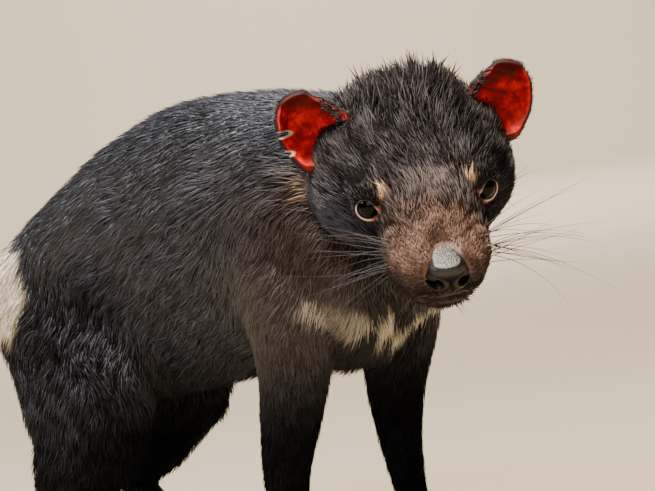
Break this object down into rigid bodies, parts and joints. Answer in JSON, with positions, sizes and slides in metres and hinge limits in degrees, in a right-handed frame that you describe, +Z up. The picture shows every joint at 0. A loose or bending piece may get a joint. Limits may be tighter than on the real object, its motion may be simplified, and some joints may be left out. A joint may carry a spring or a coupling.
{
  "type": "standing marsupial carnivore model",
  "caption": "Life-size model of a Tasmanian devil standing mid-step, with its head lowered and turned to its right and its tail held out behind.",
  "frame": {"origin": "middle of the bounding box in plan, at the floor under the soles", "axes": "+X forward from tail to head along the trunk, +Y to the animal's left, +Z up"},
  "size_m": [0.6458, 0.1774, 0.3137],
  "materials": {
    "coat": "short dense glossy black fur",
    "paw_skin": "dark paws with thin hair, bare pads and horn claws",
    "nose_skin": "moist dark bare skin",
    "ear_skin": "thin bare skin that lets light through",
    "eye": "wet dark brown eyeball"
  },
  "bodies": {
    "root": {"head": "coat", "nose_pad": "nose_skin", "eye_right": "eye", "eye_left": "eye", "ear_right": "ear_skin", "ear_left": "ear_skin", "neck": "coat", "torso": "coat", "tail": "coat", "foreleg_right": "coat", "foreleg_left": "coat", "forepaw_right": "paw_skin", "forepaw_left": "paw_skin", "thigh_right": "coat", "thigh_left": "coat", "shank_right": "coat", "shank_left": "coat", "hindpaw_right": "paw_skin", "hindpaw_left": "paw_skin"}
  },
  "joints": []
}
